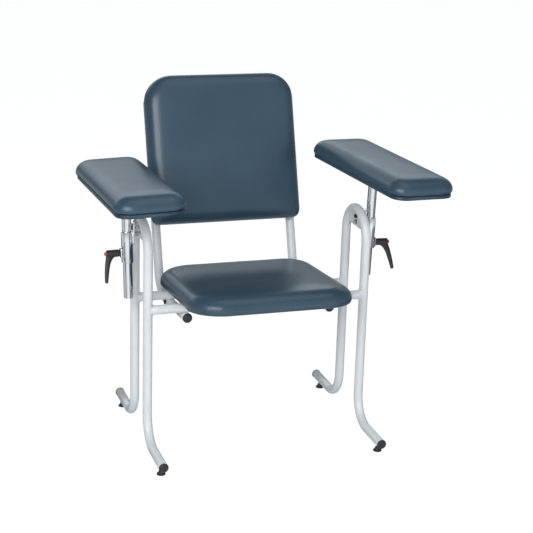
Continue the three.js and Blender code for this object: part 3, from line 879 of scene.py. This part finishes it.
def pan_screw(name, radius, height, shank, length):
    """Pan head below Z = 0 with a round recess for its driver."""
    return sharpen(lathe(name, [(0, -height * 0.45), (radius * 0.34, -height * 0.5), (radius * 0.4, -height),
                                (radius * 0.68, -height * 0.96), (radius * 0.9, -height * 0.7),
                                (radius, -height * 0.35), (radius, 0), (shank, 0), (shank, length),
                                (0, length)],
                         28), 40)


def tube_screws():
    grip = 2 * TUBE_RADIUS + 2 * GAP + 9 * MM
    pitch = 2 * HALF_PITCH / math.cos(seat_tilt)
    number = 0
    for y in (0, pitch):
        for x in (-150 * MM, 150 * MM):
            number += 1
            obj = pan_screw(f"seat_fixing_{number}", 6 * MM, 3.2 * MM, 3 * MM, grip)
            place(obj, SEAT @ Matrix.Translation((x, y, -2 * TUBE_RADIUS - 2 * GAP)))
            dress(obj, "zinc", "frame", f"seat_screw_{number}")
    number = 0
    for z in (120 * MM, 320 * MM):
        for x in (-RAIL_X, RAIL_X):
            number += 1
            obj = pan_screw(f"back_fixing_{number}", 6 * MM, 3.2 * MM, 3 * MM, grip)
            turn = Matrix.Rotation(math.pi / 2, 4, "X")
            place(obj, BACK @ Matrix.Translation((x, TUBE_RADIUS + GAP, z)) @ turn)
            dress(obj, "zinc", "frame", f"back_screw_{number}")


# ---------------------------------------------------------------- arm mounts


LEAN_OUT = math.atan2(joints["right_arm_swivel"]["axis"][0], joints["right_arm_swivel"]["axis"][2])
PAD_HEIGHT = {side: joints[f"{side}_arm_swivel"]["pos_m"][2] for side, _ in SIDES}
CLAMP_HEIGHT = {"left": 547 * MM, "right": 532 * MM}
POST_DATUM = 600 * MM


def side_space(sign):
    """X away from the seat and Z up, from the floor at the middle of the chair."""
    return Matrix.Translation(ORIGIN) @ Matrix.Rotation(0 if sign > 0 else math.pi, 4, "Z")


def post_space(side, sign, height):
    """X away from the seat and Z up the post, at a height on the post's axis."""
    along = (height - PAD_HEIGHT[side]) / math.cos(LEAN_OUT)
    return joint_frame(joints[f"{side}_arm_swivel"], sign) @ Matrix.Translation((0, 0, along))


def post(side):
    top, length, bore = -(3 + 0.3 + 0.6) * MM, 292 * MM, 11.1 * MM
    low = top - length
    r, e = TUBE_RADIUS, 0.35 * MM
    obj = lathe(f"{side}_post_tube", [(bore, top), (r - e, top), (r, top - e), (r, low + e), (r - e, low),
                                      (bore + e, low), (bore, low + e)], 72)
    upright = joint_frame(joints[f"{side}_arm_swivel"], 1)
    dress(sharpen(place(obj, upright), 40), "chrome", f"{side}_arm_post", f"{side}_post")


def arm_plate(side):
    r, t = 45 * MM, 3 * MM
    face = -GAP - t
    obj = lathe(f"{side}_swivel_plate", [
        (0, -18 * MM), (9.4 * MM, -18 * MM), (10.2 * MM, -17.2 * MM), (10.2 * MM, face),
        (r - 0.8 * MM, face), (r - 0.2 * MM, face + 0.3 * MM), (r, face + 1 * MM), (r, -GAP - 0.6 * MM),
        (r - 0.6 * MM, -GAP), (0, -GAP),
    ], 64)
    dress(sharpen(place(obj, pad_frame(side)), 40), "plain_steel", f"{side}_arm", f"{side}_arm_plate")
    for i in range(4):
        a = math.pi / 4 + i * math.pi / 2
        screw = pan_screw(f"{side}_plate_screw_{i + 1}", 4.5 * MM, 2.4 * MM, 2 * MM, 2 * MM)
        x, y = SCREW_CIRCLE * math.cos(a), SCREW_CIRCLE * math.sin(a)
        place(screw, pad_frame(side) @ Matrix.Translation((x, y, face)))
        dress(screw, "zinc", f"{side}_arm")


def sleeve(side, sign):
    datum = post_space(side, sign, POST_DATUM)
    outer, bore, low, high = 16 * MM, 13.3 * MM, -80.5 * MM, 6 * MM
    e = 0.7 * MM
    shell = lathe(f"{side}_sleeve_shell", [
        (bore + 0.3 * MM, low), (outer - e, low), (outer - 0.2 * MM, low + 0.2 * MM), (outer, low + e),
        (outer, high - e), (outer - 0.2 * MM, high - 0.2 * MM), (outer - e, high), (bore + 0.3 * MM, high),
        (bore, high - 0.3 * MM), (bore, low + 0.3 * MM)], 72)
    dress(sharpen(place(shell, datum), 40), "chrome", "frame", f"{side}_sleeve")

    rings = []
    for x, grow in ((14.2, 3.4), (15.2, 1.4), (16.2, 0.4), (17.0, 0), (18.7, 0), (19.2, -0.25), (19.5, -0.8)):
        outline = rounded_outline((9 + grow) * MM, (14 + grow) * MM, (6 + grow) * MM)
        rings.append([Vector((x * MM, p.x, p.y)) for p in outline])
    boss = loft(f"{side}_clamp_boss", rings)
    clamp = post_space(side, sign, CLAMP_HEIGHT[side])
    dress(sharpen(place(boss, clamp), 40), "chrome", "frame")

    space = side_space(sign)
    rings = []
    for x, inset in ((328.8, 0.8), (329.0, 0.25), (329.6, 0), (332.6, 0), (333.2, 0.25), (333.4, 0.8)):
        outline = rounded_outline((12.5 - inset) * MM, (28.5 - inset) * MM, 2.5 * MM)
        rings.append([Vector((x * MM, p.x, 599.5 * MM + p.y)) for p in outline])
    bar = loft(f"{side}_mount_bar", rings)
    dress(sharpen(place(bar, space), 40), "chrome", "frame")
    for level, z in MOUNT_BOLTS:
        spacer = lathe(f"{side}_{level}_spacer", [
            (3.3 * MM, 309.8 * MM), (6.5 * MM, 309.8 * MM), (7 * MM, 310.3 * MM), (7 * MM, 328.9 * MM),
            (3.3 * MM, 328.9 * MM)], 40)
        dress(sharpen(place(spacer, space @ Matrix.Translation((0, 0, z)) @ ALONG_X), 40), "chrome", "frame")
    for edge in (-1, 1):
        bead = []
        steps = 60
        for i in range(steps + 1):
            t = i / steps
            z = (573 + 31 * t) * MM
            swell = 1.7 * MM * (1 + 0.13 * math.sin(t * 62)) * min(1, 8 * t + 0.15, 8 * (1 - t) + 0.15)
            across = (348.4 - 14.6) * MM + (z - POST_DATUM) * math.tan(LEAN_OUT)
            bead.append([Vector((across + swell * math.cos(a), edge * 6.4 * MM + swell * math.sin(a), z))
                         for a in (2 * math.pi * k / 12 for k in range(12))])
        obj = loft(f"{side}_bar_weld_{'front' if edge < 0 else 'rear'}", bead)
        dress(place(obj, space), "chrome", "frame")


def gusset(side, sign):
    """Plate inside the hairpin bend, its lower edge run out along the tube in a fillet each side."""
    centre, radius = 555.0, 65.4
    start = math.asin((569 - centre) / radius)
    edge = [(radius * math.cos(a), centre + radius * math.sin(a))
            for a in (start + (math.pi - 2 * start) * i / 40 for i in range(41))]
    lower = []
    for i in range(1, 9):
        t = i / 9
        y = (1 - t) ** 2 * -edge[0][0] + 2 * t * (1 - t) * -59.0 + t * t * -47.0
        z = (1 - t) ** 2 * 569 + 2 * t * (1 - t) * 581 + t * t * 581
        lower.append((y, z))
    lower += [(-47 + 94 * i / 6, 581.0) for i in range(7)]
    lower += [(-y, z) for y, z in reversed(lower[:8])]
    outline = edge + lower
    rings = []
    for x, inset in ((306.5, 0.6), (306.9, 0.1), (307.3, 0), (308.7, 0), (309.1, 0.1), (309.5, 0.6)):
        ring = []
        for y, z in outline:
            toward = Vector((0 - y, 604 - z)).normalized() * inset
            ring.append(Vector((x * MM, (y + toward.x) * MM, (z + toward.y) * MM)))
        rings.append(ring)
    obj = sharpen(place(loft(f"{side}_gusset_plate", rings), side_space(sign)), 40)
    dress(obj, "painted_tube", "frame", f"{side}_gusset")
    bead = []
    steps = 72
    for i in range(steps + 1):
        a = start + (math.pi - 2 * start) * i / steps
        hub = Vector((308 * MM, 63.6 * MM * math.cos(a), centre * MM + 63.6 * MM * math.sin(a)))
        out = Vector((0, math.cos(a), math.sin(a)))
        end = min(1, 6 * i / steps + 0.2, 6 * (1 - i / steps) + 0.2)
        ring = []
        for k in range(16):
            t = 2 * math.pi * k / 16
            across = Vector((4.2 * MM * end * math.cos(t), 0, 0))
            ring.append(hub + across + out * 3.0 * MM * end * math.sin(t))
        bead.append(ring)
    dress(place(loft(f"{side}_gusset_weld", bead), side_space(sign)), "painted_tube", "frame")
    for level, z in MOUNT_BOLTS:
        at = side_space(sign) @ Matrix.Translation((305.0 * MM, 0, z)) @ ALONG_X
        ring = washer(f"{side}_{level}_flat_washer", 3.3 * MM, 6.6 * MM, 1.2 * MM)
        dress(place(ring, at), "black_steel", "frame", f"{side}_{level}_washer")
        bolt = hex_head(f"{side}_{level}_hex_bolt", 5.6 * MM, 4 * MM, 2.9 * MM, 27 * MM)
        # The upper bolt's black steel finish is painted shade from the tube just above it; the lower bolt of the
        # same kind is plain zinc.
        metal = "zinc" if level == "lower" else "black_steel"
        dress(place(bolt, Matrix.Translation((-sign * GAP, 0, 0)) @ at), metal, "frame",
              f"{side}_{level}_bolt")


def quadratic(a, b, c, t):
    return tuple((1 - t) ** 2 * p + 2 * t * (1 - t) * q + t * t * r for p, q, r in zip(a, b, c))


def lever(side, sign):
    """Moulded handle: a stepped hub along the clamp screw and an arm that hangs forward of straight down."""
    space = post_space(side, sign, CLAMP_HEIGHT[side]) @ Matrix.Rotation(-sign * math.radians(25), 4, "X")
    body = f"{side}_clamp_lever"
    base = 19.8
    hub = lathe(f"{side}_lever_grip", [(r * MM, z * MM) for r, z in (
        (7.5, base), (8.3, base), (9.0, base + 0.7), (9.1, base + 4.4), (9.9, base + 6), (10, base + 8),
        (10, 53.8), (9.7, 55.4), (8.9, 56.5), (7.6, 57), (5.5, 57), (5.4, 56), (5.4, 52), (7.5, 51.9))], 56)
    dress(sharpen(place(hub, space @ ALONG_X), 45), "black_plastic", body, f"{side}_lever_handle")

    def inner(t):
        if t < 0.4:
            return quadratic((31, -7.5), (45.5, -13), (51.5, -36), t / 0.4)
        return quadratic((51.5, -36), (57, -56), (60, -74), (t - 0.4) / 0.6)

    def outer(t):
        if t < 0.3:
            return quadratic((57, 5), (58.5, -7), (61.5, -18), t / 0.3)
        return quadratic((61.5, -18), (67, -42), (69.2, -74), (t - 0.3) / 0.7)

    sections = [((32, 2), (56, 7.5), 6.0), ((31, -3), (56.6, 6.5), 6.4)]
    for i in range(25):
        t = i / 24
        sections.append((inner(t), outer(t), 6.4 - 2.0 * t))
    for i in range(1, 7):
        a = math.pi / 2 * i / 6.3
        half, drop = 4.6 * math.cos(a), 4.6 * math.sin(a)
        sections.append(((64.6 - half, -74 - drop), (64.6 + half, -74 - drop), 4.4 * math.cos(a) ** 0.7))
    rings = []
    for near, far, depth in sections:
        middle_x, middle_z = (near[0] + far[0]) / 2, (near[1] + far[1]) / 2
        half = Vector((far[0] - near[0], far[1] - near[1])) / 2
        ring = []
        for k in range(28):
            a = 2 * math.pi * k / 28
            u = math.copysign(abs(math.cos(a)) ** 0.72, math.cos(a))
            v = math.copysign(abs(math.sin(a)) ** 0.72, math.sin(a))
            ring.append(Vector(((middle_x + half.x * u) * MM, depth * v * MM, (middle_z + half.y * u) * MM)))
        rings.append(ring)
    dress(place(loft(f"{side}_lever_arm", rings), space), "black_plastic", body)
    stud = lathe(f"{side}_lever_screw", [(r * MM, z * MM) for r, z in (
        (0, 13), (3.6, 13), (4, 13.4), (4, 24), (6.8, 24), (6.8, 38), (0, 38))], 36)
    dress(sharpen(place(stud, space @ ALONG_X), 45), "plain_steel", body, f"{side}_lever_stud")
    button = lathe(f"{side}_release_button", [(r * MM, z * MM) for r, z in (
        (0, 48.8), (6.6, 48.8), (6.6, 51.6), (4.9, 51.6), (4.9, 60.6), (4.7, 61.4), (4.2, 62.0), (3.2, 62.4),
        (1.8, 62.55), (0, 62.6))], 40)
    sharpen(place(button, space @ ALONG_X), 45)
    dress(button, "red_plastic", f"{side}_clamp_button", f"{side}_lever_button")


def rail_bolt(side, sign):
    pitch = 2 * HALF_PITCH / math.cos(seat_tilt)
    behind_tube = 22 * MM
    place_at = Vector((sign * (RAIL_X + TUBE_RADIUS + GAP), pitch + behind_tube, -RAIL_DROP))
    bolt = hex_head(f"{side}_rail_fixing", 6.5 * MM, 4.5 * MM, 3 * MM, 16 * MM)
    turn = Matrix.Rotation(-sign * math.pi / 2, 4, "Y")
    place(bolt, SEAT @ Matrix.Translation(place_at) @ turn)
    dress(bolt, "black_steel", "frame", f"{side}_rail_bolt")


tube_screws()
for side, sign in SIDES:
    post(side)
    arm_plate(side)
    sleeve(side, sign)
    gusset(side, sign)
    lever(side, sign)
    rail_bolt(side, sign)
